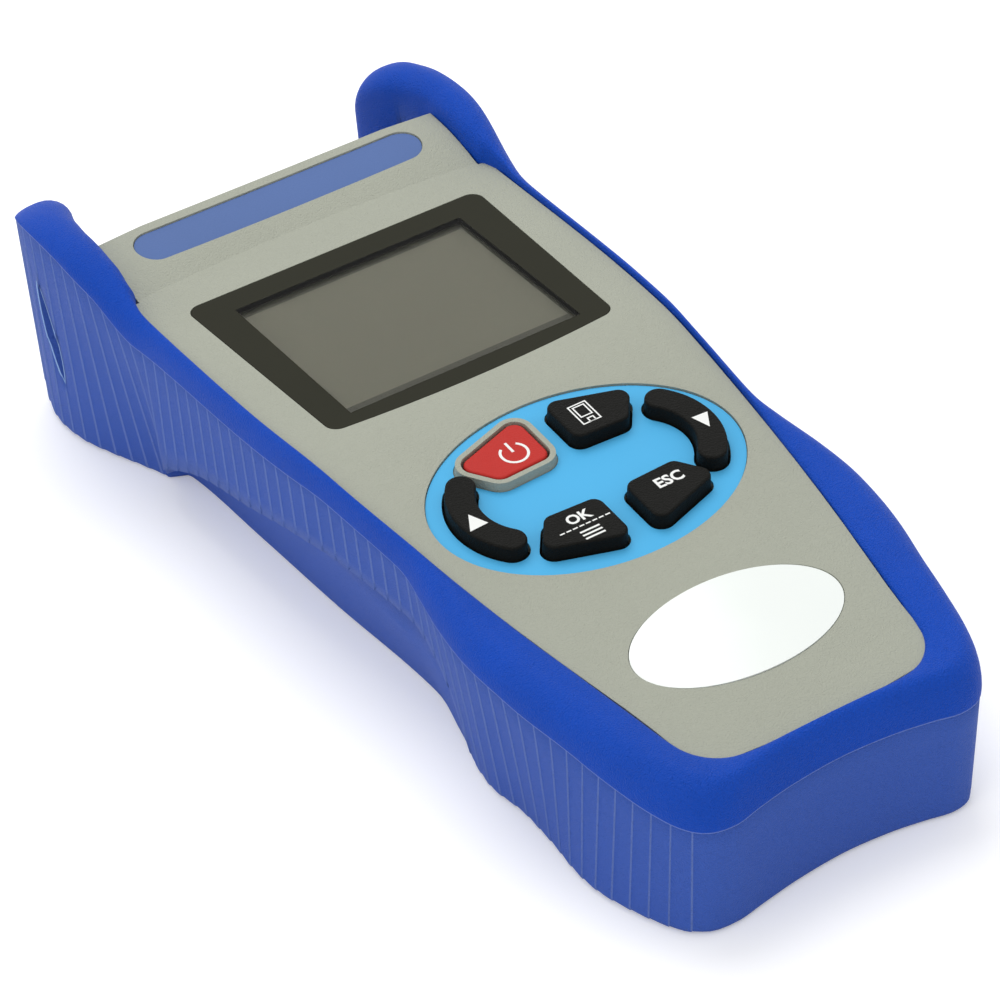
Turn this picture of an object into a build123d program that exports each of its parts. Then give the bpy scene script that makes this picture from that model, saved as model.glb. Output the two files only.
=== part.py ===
from build123d import *
import math
import os

os.makedirs("parts", exist_ok=True)

# The tester lies on its back: X across, Y towards the horned connector end, Z up from the table.

# Overall places along Y
keypad_y = -26.0
shell_low_y = -95.2
shell_top_y = 83.7
notch_y = 66.0
horn_tip_y = 106.0

# Front face in side view
keypad_height = 34.9
keypad_slope = 6.1
display_height = 37.9
crown_radius = 94.0
header_foot_y = 68.8
header_foot_radius = 325.0
header_top_height = 41.3
header_foot_slope = 22.0

# Shells
skin = 2.2
shoulder_drop = 2.2
flange_thickness = 2.0
parting_height = 24.0
back_height = 2.0
gray_half_width = 38.4
header_half_width = 36.6
body_half_width = 38.9
back_grip_half_width = 28.4
boss_radius = 3.2
screw_radius = 1.25
screw_head_radius = 2.6
screw_head_depth = 1.8
case_screw_length = 21.2

# Rubber boot
rim_rise = 1.5
bead_radius = 3.4
boot_half_width = 45.3
boot_waist_half_width = 36.5
boot_hip_half_width = 39.4
boot_low_corner_y = -102.4
low_corner_ease = 0.35
boot_low_middle_y = -99.2
horn_height = 47.5
horn_inner_x = 31.2
horn_centre_x = 36.3
horn_throat_y = 84.0
horn_toe_radius = 9.0
horn_toe_reach = 0.5
header_side_gap = 0.3
grip_top_height = 21.0
grip_floor_x = 32.0
grip_top_x = 37.4
back_lip_width = 3.0
strap_slit_low = (89.2, 12.5)
strap_slit_high = (91.8, 33.2)
strap_slit_front = (92.6, 20.0)
strap_slit_rear = (89.3, 25.0)

# Display
display_y = 32.4
aperture_width = 48.0
aperture_height = 40.7
window_top_y = 58.4
window_low_y = 7.6
window_top_half = 31.2
window_low_half = 29.4
window_bow = 1.6
window_corner = 2.5
window_thickness = 1.5
window_gap = 0.1
window_edge_gap = 0.15
window_pad_thickness = 1.8
mask_thickness = 0.3
mask_inset = 0.4
lcd_panel_width = 49.4
lcd_panel_height = 42.0
lcd_frame_width = 58.0
lcd_frame_height = 48.0
lcd_panel_sink = 0.6
lcd_gap = 0.2

# Keypad
keypad_half_x = 29.7
keypad_half_y = 21.95
overlay_recess = 0.8
overlay_thickness = 0.4
key_rise = 2.8
key_travel = 0.7
key_gap = 0.35
key_flange = 0.9
key_flange_reach = 0.9
key_rim_gap = 0.1
key_draft = 2.5
key_corner = 2.2
key_edge = 0.5
ring_rise = 1.3
ring_width = 1.2
ring_draft = 6.0
power_key_rise = 1.6
crescent_radius = 12.2
crescent_x = 23.4
crescent_width = 5.6
crescent_half_span = 8.0
crescent_stem_x = 22.3
keypad_board_depth = 6.6
stem_radius = 1.6
dome_radius = 2.8
dome_height = 0.5

# Badge and header label
badge_v = -44.3
badge_half_x = 20.0
badge_half_y = 11.4
badge_recess = 0.5
badge_crown_radius = 420.0
badge_rise = 0.35
label_y = 77.4
label_width = 61.2
label_height = 7.9
label_recess = 0.7
label_drop = 0.3
trim_gap = 0.15

# Boards
board_thickness = 1.6
board_gap = 0.1
main_board_top = 31.2
main_board_width = 60.0
main_board_low_y = -1.0
main_board_top_y = 75.0
board_edge_gap = 0.4
keypad_board_half_width = back_grip_half_width - skin - board_edge_gap
keypad_board_low_v = -24.0
keypad_board_top_v = 19.0
board_boss_radius = 2.4
board_screw_radius = 0.9
board_screw_length = 4.0
board_head_radius = 1.9
board_head_height = 1.1
ribbon_width = 16.0
ribbon_thickness = 0.3

# Connector end
panel_thickness = 2.0
panel_half_width = 33.5
panel_low = 4.4
panel_top = 38.0
panel_cover = 1.2
port_x = 14.5
port_height = 21.0
port_barrel_radius = 4.0
port_barrel_length = 9.0
port_flange = 13.0
port_flange_thickness = 1.6
port_neck_radius = 3.6
port_bore_radius = 1.26
port_gap = 0.1
receiver_length = 14.0
receiver_radius = 5.0
receiver_pin_radius = 0.3
cap_wall = 1.4
cap_clearance = 0.08
cap_end = 1.6
usb_width = 7.7
usb_height = 4.0
usb_depth = 12.0
usb_wall = 0.5

# Battery
cell_radius = 7.15
cell_length = 50.2
cell_pitch = 15.0
cell_count = 3
cell_side_gap = 0.45
cell_end_room = 4.4
battery_y = -56.0
bay_wall = 1.5
bay_roof = 1.2
cell_top_gap = 0.3
battery_floor = 4.2
contact_thickness = 0.4
leaf_height = 8.0
leaf_width = 5.0
door_thickness = 2.0
door_head_sink = 1.2
door_screw_length = 7.0
door_gap = 0.25
door_margin = 2.0
door_tab_length = 7.0
door_tab_width = 16.0
ledge_thickness = 1.4
tongue_width = 6.0
tongue_reach = 3.0
tongue_thickness = 1.2
tongue_x = 15.0

keypad_plane = Plane(
    origin=(0, keypad_y, keypad_height),
    x_dir=(1, 0, 0),
    z_dir=(0, -math.sin(math.radians(keypad_slope)), math.cos(math.radians(keypad_slope))),
)
window_seat_height = display_height - window_thickness - mask_thickness - window_gap
usb_middle = main_board_top - board_thickness - usb_height / 2


def mirrored(points):
    """Right-hand points followed by their mirror images, in one round trip."""
    return points + [(-x, y) for x, y in reversed(points)]


def slab(face, low, high):
    """Extrude a flat face drawn at Z 0 from one height to another."""
    return Pos(0, 0, low) * extrude(face, high - low)


def side_region(edges, reach=70.0):
    """Extrude a closed outline drawn as Y, Z across the whole width."""
    return Pos(-reach, 0, 0) * extrude(make_face(edges), 2 * reach, dir=(1, 0, 0))


def yz(y, z):
    return (0, y, z)


def face_profile(drop):
    """Everything below the front face lowered by drop: keypad slope, crown, level display zone."""
    slope = math.radians(keypad_slope)
    crown_y = keypad_y + (display_height - keypad_height) / math.tan(slope)
    reach = crown_radius * math.tan(slope / 2)
    low_y = -120.0
    low_z = keypad_height + (low_y - keypad_y) * math.tan(slope) - drop
    start = yz(crown_y - reach * math.cos(slope), display_height - reach * math.sin(slope) - drop)
    end = yz(crown_y + reach, display_height - drop)
    outline = [
        Line(yz(low_y, -10), yz(low_y, low_z)),
        Line(yz(low_y, low_z), start),
        TangentArc(start, end, tangent=(0, math.cos(slope), math.sin(slope))),
        Line(end, yz(120, display_height - drop)),
        Line(yz(120, display_height - drop), yz(120, -10)),
        Line(yz(120, -10), yz(low_y, -10)),
    ]
    return side_region(outline)


def header_ramp(drop):
    """Everything below the raised header: a shallow ramp swept round a wide arc."""
    slope = math.radians(header_foot_slope)
    axis_y = header_foot_y - header_foot_radius
    top_y = shell_top_y + 1.0
    foot = yz(header_foot_y, display_height - drop)
    top = yz(top_y, header_top_height - drop)
    outline = [
        Line(yz(header_foot_y - 12, 5), yz(header_foot_y - 12, display_height - drop)),
        Line(yz(header_foot_y - 12, display_height - drop), foot),
        TangentArc(foot, top, tangent=(0, math.cos(slope), math.sin(slope))),
        Line(top, yz(top_y, 5)),
        Line(yz(top_y, 5), yz(header_foot_y - 12, 5)),
    ]
    axis = Axis((0, axis_y, 0), (0, 0, 1))
    ramp = revolve(make_face(outline), axis, 16)
    return ramp.rotate(axis, -8)


def both_sides(parts, middle):
    """Closed face from right-hand edges, their mirror images and the edges that cross the middle."""
    edges = list(middle)
    for part in parts:
        edges.append(part)
        edges.append(mirror(part, Plane.YZ))
    return make_face(edges)


def gray_outline(inset=0.0):
    """Visible outline of the gray face: widest at the display, tapering to the low end."""
    places = [(24.6, -86.0), (27.9, -66.0), (34.6, -21.0), (37.4, 9.0), (gray_half_width, 40.0)]
    side = [(x - inset, y) for x, y in places]
    top_x = gray_half_width - inset
    top_y = notch_y - inset
    low_y = shell_low_y + inset
    right = Spline(side, tangents=[(0.1, 1), (0, 1)])
    low = ThreePointArc((-17.0, low_y + 0.8), (0, low_y), (17.0, low_y + 0.8))
    corner = TangentArc((17.0, low_y + 0.8), side[0], tangent=(1, 0.09))
    upper = Line((top_x, 40.0), (top_x, top_y))
    return both_sides([right, corner, upper], [low, Line((top_x, top_y), (-top_x, top_y))])


def body_outline(inset=0.0):
    """Outline of the front shell under the rubber lip."""
    places = [(31.2, -86.0), (35.6, -62.0), (34.7, -27.0), (body_half_width - 0.6, 30.0), (body_half_width, 62.0)]
    side = [(x - inset, y) for x, y in places]
    top_x = body_half_width - inset
    top_y = shell_top_y - inset
    low_y = shell_low_y - shoulder_drop + inset
    right = Spline(side, tangents=[(0.3, 1), (0, 1)])
    corner = TangentArc((22.0, low_y), side[0], tangent=(1, 0))
    upper = Line((top_x, 62.0), (top_x, top_y))
    middle = [Line((-22.0, low_y), (22.0, low_y)), Line((top_x, top_y), (-top_x, top_y))]
    return both_sides([right, corner, upper], middle)


def back_outline():
    """Outline of the rear shell, drawn in behind the finger grips."""
    grip_x = back_grip_half_width
    points = [(22.0, -97.0), (29.5, -89.0), (33.0, -68.0), (grip_x, -38.0), (grip_x, -20.0), (30.4, 60.0), (36.0, 66.0)]
    corners = mirrored(points + [(36.0, shell_top_y)])
    face = make_face(Polyline(*corners, close=True))
    low = face.vertices().sort_by(Axis.Y)[:-2]
    return fillet(low, 3.0)


def boot_plan():
    """Outer plan of the boot at the bead: hips, waist, grips and rounded horn tips."""
    tip = Spline(
        [(boot_half_width, 82.0), (44.0, 96.0), (41.2, 102.8), (horn_centre_x, horn_tip_y)],
        tangents=[(0, 1), (-1, 0)],
    )
    grip = Spline(
        [(boot_waist_half_width, -27.0), (37.9, -4.0), (40.6, 24.0), (41.8, 56.0), (boot_half_width, 82.0)],
        tangents=[(0.05, 1), (0, 1)],
    )
    hip = Spline(
        [(30.2, -97.4), (34.6, -82.0), (boot_hip_half_width, -52.0), (boot_waist_half_width, -27.0)],
        tangents=[(0.5, 1), (-0.35, 1)],
    )
    bend = (23.0, boot_low_corner_y + low_corner_ease)
    corner = TangentArc(bend, (30.2, -97.4), tangent=(1, -0.05))
    low = Spline([(-bend[0], bend[1]), (0, boot_low_middle_y), bend], tangents=[(1, 0.12), (1, -0.12)])
    tips = Line((horn_centre_x, horn_tip_y), (-horn_centre_x, horn_tip_y))
    return both_sides([corner, hip, grip, tip], [low, tips])


def boot_top():
    """Everything below the boot's upper edge in side view, from the low end over the horns."""
    low_y = -120.0
    slope = math.tan(math.radians(keypad_slope))
    low_z = keypad_height + rim_rise + (low_y - keypad_y) * slope
    points = [
        yz(0, keypad_height + rim_rise - keypad_y * slope - 0.6),
        yz(30, display_height + rim_rise),
        yz(54, display_height + rim_rise + 0.2),
        yz(68, 43.5),
        yz(82, horn_height),
        yz(96, 45.6),
        yz(horn_tip_y + 1.5, 36.0),
    ]
    crest = Spline([yz(low_y, low_z)] + points, tangents=[yz(1, slope), yz(0.5, -1)])
    end = points[-1]
    heel_y = horn_tip_y - horn_toe_radius
    toe = yz(horn_tip_y + horn_toe_reach, horn_toe_radius)
    outline = [
        Line(yz(low_y, -10), yz(low_y, low_z)),
        crest,
        Line(end, toe),
        TangentArc(yz(heel_y, 0), toe, tangent=(0, 1, 0)),
        Line(yz(heel_y, 0), yz(heel_y, -10)),
        Line(yz(heel_y, -10), yz(low_y, -10)),
    ]
    return side_region(outline)


def grip_recess():
    """Slanted relief under each side, bounded above by a long low arch."""
    foot_low = -41.0
    foot_top = 61.5
    arch = Spline(
        [yz(foot_low, -1), yz(-34.0, 14.0), yz(-25.0, 20.2), yz(-8.0, grip_top_height), yz(16.0, 20.0),
         yz(42.0, 15.0), yz(foot_top, -1)],
    )
    side = side_region([arch, Line(yz(foot_top, -1), yz(foot_low, -1))])
    lean = (grip_top_x - grip_floor_x) / grip_top_height
    section = Plane.XZ * make_face(
        Polyline(
            (grip_floor_x - lean, -1), (grip_top_x + lean, grip_top_height + 1), (70, grip_top_height + 1), (70, -1),
            close=True,
        )
    )
    wedge = Pos(0, 80, 0) * extrude(section, 160, dir=(0, -1, 0))
    right = wedge & side
    return right + mirror(right, Plane.YZ)


def boot_cavity():
    """The room that the two shells fill inside the boot."""
    body = slab(body_outline(), parting_height - flange_thickness, 60) & face_profile(shoulder_drop)
    plate = slab(gray_outline(), parting_height, 60)
    back = slab(back_outline(), back_height, parting_height)
    header_room = Pos(0, (notch_y + horn_throat_y) / 2, 40) * Box(
        2 * (header_half_width + header_side_gap), horn_throat_y - notch_y, 40
    )
    return body + plate + back + header_room


def connector_bay():
    """Open bay between the horns, whose inner faces draw in from the header to the rounded tips."""
    throat_x = header_half_width + header_side_gap
    side = Spline(
        [(throat_x, shell_top_y), (35.6, 90.0), (32.9, 97.0), (horn_inner_x, 102.4)],
        tangents=[(0, 1), (-0.1, 1)],
    )
    tip = TangentArc((horn_inner_x, 102.4), (horn_centre_x, horn_tip_y + 0.2), tangent=(-0.05, 1))
    mouth_y = horn_tip_y + 6
    lip = Line((horn_centre_x, horn_tip_y + 0.2), (horn_centre_x, mouth_y))
    mouth = Line((horn_centre_x, mouth_y), (-horn_centre_x, mouth_y))
    back = Line((throat_x, shell_top_y), (-throat_x, shell_top_y))
    return slab(both_sides([side, tip, lip], [mouth, back]), -5, 75)


def strap_slit():
    """Slanted lens-shaped slit through both horns for the wrist strap."""
    low = yz(*strap_slit_low)
    high = yz(*strap_slit_high)
    front = ThreePointArc(low, yz(*strap_slit_front), high)
    rear = ThreePointArc(high, yz(*strap_slit_rear), low)
    return side_region([front, rear])


def rubber_boot():
    blank = slab(boot_plan(), 0, 60) & boot_top()
    crest = blank.faces().sort_by(Axis.Z)[-1]
    boot = fillet(crest.edges(), bead_radius)
    bay = connector_bay()
    boot = boot - bay
    boot = boot - boot_cavity()
    boot = boot - grip_recess()
    window = offset(back_outline(), -back_lip_width)
    boot = boot - slab(window, -1, back_height + 1)
    return boot - strap_slit()


def key_plan(side, level):
    """Rounded four-sided key face: side is -1 left or 1 right, level is 1 upper or -1 lower."""
    corners = [(2.4, 6.9), (13.2, 6.4), (18.2, 13.4), (2.4, 18.7)]
    placed = [(side * x, level * y) for x, y in corners]
    if side * level < 0:
        placed.reverse()
    face = make_face(Polyline(*placed, close=True))
    return fillet(face.vertices(), key_corner)


def crescent_plan(side):
    """Curved key beside the keypad's end: a slot along an arc."""
    drop = crescent_radius - math.sqrt(crescent_radius**2 - crescent_half_span**2)
    ends_x = side * (crescent_x - drop)
    arc = ThreePointArc((ends_x, -crescent_half_span), (side * crescent_x, 0), (ends_x, crescent_half_span))
    return SlotArc(arc, crescent_width)


key_plans = {
    "power_key": key_plan(-1, 1),
    "save_key": key_plan(1, 1),
    "enter_key": key_plan(-1, -1),
    "cancel_key": key_plan(1, -1),
    "left_arrow_key": crescent_plan(-1),
    "right_arrow_key": crescent_plan(1),
}
key_stems = {
    "power_key": (-8.5, 11.3),
    "save_key": (8.5, 11.3),
    "enter_key": (-8.5, -11.3),
    "cancel_key": (8.5, -11.3),
    "left_arrow_key": (-crescent_stem_x, 0.0),
    "right_arrow_key": (crescent_stem_x, 0.0),
}


def key_cap(name):
    """Key cap with a drafted crown, a rim under the shell that holds it in, and a stem to its dome."""
    plan = key_plans[name]
    rise = power_key_rise if name == "power_key" else key_rise
    foot = -skin - key_rim_gap
    base = overlay_thickness - overlay_recess
    crown = Pos(0, 0, foot) * extrude(plan, base + rise - foot, taper=key_draft)
    top = crown.faces().sort_by(Axis.Z)[-1]
    crown = fillet(top.edges(), key_edge)
    rim = Pos(0, 0, foot - key_flange) * extrude(offset(plan, key_flange_reach), key_flange)
    stem_foot = dome_height + key_travel + key_rim_gap - keypad_board_depth
    stem_length = foot - key_flange - stem_foot
    u, v = key_stems[name]
    stem = Pos(u, v, stem_foot + stem_length / 2) * Cylinder(stem_radius, stem_length)
    return keypad_plane * (crown + rim + stem)


def power_ring_plan():
    return offset(key_plans["power_key"], key_gap + ring_width)


def window_plan(grow=0.0):
    """Display window: straight top, sides that draw in downwards and a gently bowed lower edge."""
    low_corner_y = window_low_y + window_bow
    edges = [
        Line((-window_top_half, window_top_y), (window_top_half, window_top_y)),
        Line((window_top_half, window_top_y), (window_low_half, low_corner_y)),
        ThreePointArc((window_low_half, low_corner_y), (0, window_low_y), (-window_low_half, low_corner_y)),
        Line((-window_low_half, low_corner_y), (-window_top_half, window_top_y)),
    ]
    face = make_face(edges)
    face = fillet(face.vertices(), window_corner)
    return offset(face, grow) if grow else face


def label_plan(grow=0.0):
    return Pos(0, label_y, 0) * SlotOverall(label_width + 2 * grow, label_height + 2 * grow)


def header_block(drop):
    """Raised header ahead of the display, up to the connector end."""
    block = Pos(0, (notch_y + shell_top_y) / 2, 30) * Box(2 * header_half_width, shell_top_y - notch_y, 60)
    return block & header_ramp(drop)


boss_places = [(-20.0, -91.5), (20.0, -91.5), (-30.0, 70.0), (30.0, 70.0)]
main_board_screws = [(-26.0, 3.2), (26.0, 3.2), (-26.0, 62.0), (26.0, 62.0)]
keypad_board_screws = [(-22.5, -20.0), (22.5, -20.0), (-22.5, 15.5), (22.5, 15.5)]


def post(x, y, low, high, radius, bore):
    tube = Cylinder(radius, high - low) - Cylinder(bore, high - low)
    return Pos(x, y, (low + high) / 2) * tube


def end_opening(low, high):
    """Cut in the shells' end walls that shows the connector panel."""
    width = 2 * (panel_half_width - panel_cover)
    return Pos(0, shell_top_y, (low + high) / 2) * Box(width, 3 * skin, high - low)


def front_blank():
    """Outer form of the front shell: the gray face, the shoulder under the rubber lip and the header."""
    plate = slab(gray_outline(), parting_height, 60) & face_profile(0)
    body = slab(body_outline(), parting_height, 60) & face_profile(shoulder_drop)
    return plate + body + (header_block(0) & slab(body_outline(), parting_height, 60))


def front_hollow():
    """Inside of the front shell, one skin in from the outer form."""
    inner = slab(body_outline(skin), parting_height - 1, 60)
    plate = slab(gray_outline(skin), parting_height - 1, 60) & face_profile(skin)
    header = Pos(0, 0, 30) * Box(2 * (header_half_width - skin), 400, 60)
    return plate + (inner & face_profile(shoulder_drop + skin)) + (inner & header & header_block(skin))


def front_bosses(hollow):
    """Screw posts that hang from the face: case posts, board posts and keypad board posts."""
    room = hollow & slab(Rectangle(200, 400), parting_height, 60)
    posts = []
    for x, y in boss_places:
        posts.append(post(x, y, parting_height, 50, boss_radius, screw_radius))
    for x, y in main_board_screws:
        posts.append(post(x, y, main_board_top, 50, board_boss_radius, board_screw_radius))
    for u, v in keypad_board_screws:
        posts.append(keypad_plane * post(u, v, -keypad_board_depth, 6, board_boss_radius, board_screw_radius))
    return [one & room for one in posts]


def front_shell():
    hollow = front_hollow()
    shell = front_blank() - hollow
    for one in front_bosses(hollow):
        shell = shell + one
    screw_tip = back_height + screw_head_depth + case_screw_length
    for x, y in boss_places:
        shell = shell - Pos(x, y, screw_tip - 5 + port_gap) * Cylinder(screw_radius, 10)
    pad_low = window_seat_height - window_pad_thickness
    shell = shell + slab(window_plan(window_edge_gap + 1.2), pad_low, window_seat_height)
    shell = shell - slab(window_plan(window_edge_gap), window_seat_height, 60)
    opening = Pos(0, display_y, display_height) * Box(
        lcd_panel_width + 2 * lcd_gap, lcd_panel_height + 2 * lcd_gap, 20
    )
    shell = shell - opening
    oval = extrude(Ellipse(keypad_half_x, keypad_half_y), 10)
    shell = shell - keypad_plane * (Pos(0, 0, -overlay_recess) * oval)
    ring = extrude(power_ring_plan(), overlay_recess + ring_rise, taper=ring_draft)
    shell = shell + keypad_plane * (Pos(0, 0, -overlay_recess) * ring)
    for name in key_plans:
        hole = extrude(offset(key_plans[name], key_gap), 12)
        shell = shell - keypad_plane * (Pos(0, 0, -6) * hole)
    badge_room = extrude(Ellipse(badge_half_x + trim_gap, badge_half_y + trim_gap), 5)
    shell = shell - keypad_plane * (Pos(0, badge_v, -badge_recess) * badge_room)
    shell = shell - (slab(label_plan(trim_gap), 30, 60) - header_ramp(label_recess))
    return shell - end_opening(parting_height - 1, panel_top - panel_cover)


def bay_size():
    """Width and length of the room for the cells."""
    return cell_pitch * (cell_count - 1) + 2 * (cell_radius + cell_side_gap), cell_length + 2 * cell_end_room


def door_outline(grow):
    """Battery door with a screw tab at its upper end."""
    wide, long = bay_size()
    plate = Pos(0, battery_y) * RectangleRounded(
        wide + 2 * (door_margin + grow), long + 2 * (door_margin + grow), 1.5
    )
    tab_y = battery_y + long / 2 + door_margin + door_tab_length / 2 - 1
    tab = Pos(0, tab_y) * Rectangle(door_tab_width + 2 * grow, door_tab_length + 2 + 2 * grow)
    return plate + tab


def door_tongue(grow):
    """Hook at the door's low end: a root on the door and a tip that reaches over the shell's floor."""
    edge_y = battery_y - bay_size()[1] / 2 - door_margin
    root_low = back_height + door_thickness
    tip_low = back_height + skin + door_gap
    top = tip_low + tongue_thickness
    wide = tongue_width + 2 * grow
    root = Pos(0, edge_y + door_margin / 2, (root_low + top + grow) / 2) * Box(
        wide, door_margin + 2 * grow, top + grow - root_low
    )
    tip = Pos(0, edge_y - tongue_reach / 2 + grow, (tip_low + top) / 2) * Box(
        wide, tongue_reach + 4 * grow, top - tip_low + 2 * grow
    )
    return root + tip


def door_screw_place():
    return 0, battery_y + bay_size()[1] / 2 + door_margin + door_tab_length - 4.0


def rear_shell():
    outer = slab(back_outline(), back_height, parting_height)
    outer = outer + slab(body_outline(), parting_height - flange_thickness, parting_height)
    shell = outer - slab(offset(back_outline(), -skin), back_height + skin, parting_height + 1)
    wide, long = bay_size()
    bay_top = battery_floor + 2 * cell_radius + cell_top_gap + bay_roof
    bay_middle = (back_height + bay_top) / 2
    bay = Box(wide + 2 * bay_wall, long + 2 * bay_wall, bay_top - back_height)
    ledge_low = back_height + door_thickness
    shell = shell + Pos(0, battery_y, bay_middle) * bay
    shell = shell + slab(door_outline(door_margin), back_height + 0.5, ledge_low + ledge_thickness)
    for x, y in boss_places:
        shell = shell + post(x, y, back_height, parting_height, boss_radius, screw_radius)
    screw_x, screw_y = door_screw_place()
    shell = shell + Pos(screw_x, screw_y, 8) * Cylinder(boss_radius, 8)
    shell = shell - Pos(0, battery_y, bay_top - bay_roof - 20) * Box(wide, long, 40)
    shell = shell - slab(door_outline(door_gap), back_height - 1, ledge_low)
    for side in (-1, 1):
        shell = shell - Pos(side * tongue_x, 0, 0) * door_tongue(door_gap)
    for x, y in boss_places:
        shell = shell - Pos(x, y, back_height) * Cylinder(screw_head_radius + 0.2, 2 * screw_head_depth)
        shell = shell - Pos(x, y, 0) * Cylinder(screw_radius + 0.2, 2 * parting_height)
    shell = shell - Pos(screw_x, screw_y, 7) * Cylinder(screw_radius, 10)
    return shell - end_opening(panel_low + panel_cover, parting_height + 1)


def end_panel():
    """Connector panel trapped behind the shells' end walls."""
    height = panel_top - panel_low
    face_y = shell_top_y - skin - port_gap
    panel = Box(2 * panel_half_width, panel_thickness, height)
    panel = Pos(0, face_y - panel_thickness / 2, (panel_top + panel_low) / 2) * fillet(
        panel.edges().filter_by(Axis.Y), 2.0
    )
    for side in (-1, 1):
        hole = Cylinder(port_neck_radius + port_gap, 20, rotation=(90, 0, 0))
        panel = panel - Pos(side * port_x, face_y, port_height) * hole
    return panel - Pos(0, face_y, usb_middle) * Box(usb_width + 2 * port_gap, 20, usb_height + 2 * port_gap)


def optical_adapter(side):
    """Metal fibre adapter: square flange on the panel, round barrel outside, neck inside."""
    face_y = shell_top_y - skin
    flange = Box(port_flange, port_flange_thickness, port_flange)
    flange = fillet(flange.edges().filter_by(Axis.Y), 1.5)
    body = Pos(0, face_y + port_flange_thickness / 2, 0) * flange
    barrel_y = face_y + port_flange_thickness + port_barrel_length / 2
    body = body + Pos(0, barrel_y, 0) * Cylinder(port_barrel_radius, port_barrel_length, rotation=(90, 0, 0))
    neck_length = panel_thickness + 2 * port_gap
    body = body + Pos(0, face_y - neck_length / 2, 0) * Cylinder(port_neck_radius, neck_length, rotation=(90, 0, 0))
    bore_length = port_barrel_length + port_flange_thickness + neck_length
    bore = Cylinder(port_bore_radius, bore_length + 2, rotation=(90, 0, 0))
    body = body - Pos(0, face_y + port_flange_thickness + port_barrel_length - bore_length / 2, 0) * bore
    return Pos(side * port_x, 0, port_height) * body


def optical_receiver(side):
    """Photodiode can behind an adapter, with three pins up to the main board."""
    front_y = shell_top_y - skin - panel_thickness - 2 * port_gap
    can = Cylinder(receiver_radius, receiver_length, rotation=(90, 0, 0))
    can = chamfer(can.edges().sort_by(Axis.Y)[0], 0.8)
    body = Pos(0, front_y - receiver_length / 2, 0) * can
    pin_length = main_board_top - board_thickness - port_height
    for place in (-2.0, 0.0, 2.0):
        pin = Cylinder(receiver_pin_radius, pin_length)
        body = body + Pos(place, front_y - receiver_length + 2, pin_length / 2) * pin
    return Pos(side * port_x, 0, port_height) * body


def dust_cap(side):
    """Push-on cap over an adapter's barrel."""
    inner = port_barrel_radius + cap_clearance
    open_y = shell_top_y - skin + port_flange_thickness + 3 * port_gap
    length = port_barrel_length + cap_end
    cap = Cylinder(inner + cap_wall, length, rotation=(90, 0, 0))
    cap = chamfer(cap.edges().sort_by(Axis.Y)[-1], 0.7)
    cap = Pos(0, open_y + length / 2, 0) * cap
    collar = Cylinder(inner + cap_wall + 0.7, 1.6, rotation=(90, 0, 0))
    cap = cap + Pos(0, open_y + 0.8, 0) * collar
    cap = cap - Pos(0, open_y, 0) * Cylinder(inner, 2 * port_barrel_length, rotation=(90, 0, 0))
    return Pos(side * port_x, 0, port_height) * cap


def usb_socket():
    """Metal charging socket soldered under the main board, open towards the connector end."""
    front_y = shell_top_y - skin
    shell = Box(usb_width, usb_depth, usb_height) - Pos(0, usb_wall, 0) * Box(
        usb_width - 2 * usb_wall, usb_depth, usb_height - 2 * usb_wall
    )
    tongue = Pos(0, -1.5, 0.4) * Box(usb_width - 3, usb_depth - 3, 0.8)
    return Pos(0, front_y - usb_depth / 2, usb_middle) * (shell + tongue)


def display_window():
    return slab(window_plan(), display_height - window_thickness, display_height)


def window_mask():
    """Thin printed border on the underside of the window, round the aperture."""
    aperture = Pos(0, display_y) * Rectangle(aperture_width, aperture_height)
    top = display_height - window_thickness
    return slab(window_plan(-mask_inset) - aperture, top - mask_thickness, top)


def lcd_frame():
    """Moulded tray that holds the display panel on the main board."""
    low = main_board_top + board_gap
    top = window_seat_height - window_pad_thickness - board_gap
    tray = Pos(0, display_y, (low + top) / 2) * Box(lcd_frame_width, lcd_frame_height, top - low)
    seat = Box(lcd_panel_width + 2 * port_gap, lcd_panel_height + 2 * port_gap, 2 * lcd_panel_sink)
    return tray - Pos(0, display_y, top) * seat


def lcd_panel():
    low = window_seat_height - window_pad_thickness - board_gap - lcd_panel_sink
    top = window_seat_height - board_gap
    return Pos(0, display_y, (low + top) / 2) * Box(lcd_panel_width, lcd_panel_height, top - low)


def keypad_overlay():
    """Printed membrane in the oval recess, cut round each key and the power key's ring."""
    sheet = Ellipse(keypad_half_x - trim_gap, keypad_half_y - trim_gap)
    for name, plan in key_plans.items():
        if name != "power_key":
            sheet = sheet - offset(plan, key_gap)
    sheet = sheet - offset(power_ring_plan(), trim_gap)
    return keypad_plane * (Pos(0, 0, -overlay_recess) * extrude(sheet, overlay_thickness))


def badge_plate():
    """Gently domed oval plate."""
    disc = extrude(Ellipse(badge_half_x, badge_half_y), badge_recess + badge_rise)
    ball = Pos(0, 0, badge_recess + badge_rise - badge_crown_radius) * Sphere(badge_crown_radius)
    return keypad_plane * (Pos(0, badge_v, -badge_recess) * (disc & ball))


def header_label():
    """Pill-shaped label set into the header's ramp."""
    blank = slab(label_plan(), 30, 60) & header_ramp(label_drop)
    return blank - header_ramp(label_recess)


def keypad_board():
    width = 2 * keypad_board_half_width
    middle = (keypad_board_top_v + keypad_board_low_v) / 2
    board = Rectangle(width, keypad_board_top_v - keypad_board_low_v)
    board = fillet(board.vertices(), 3.0)
    board = Pos(0, middle, -keypad_board_depth - board_thickness) * extrude(board, board_thickness)
    for u, v in keypad_board_screws:
        board = board - Pos(u, v, -keypad_board_depth) * Cylinder(board_screw_radius + port_gap, 8)
    return keypad_plane * board


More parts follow.
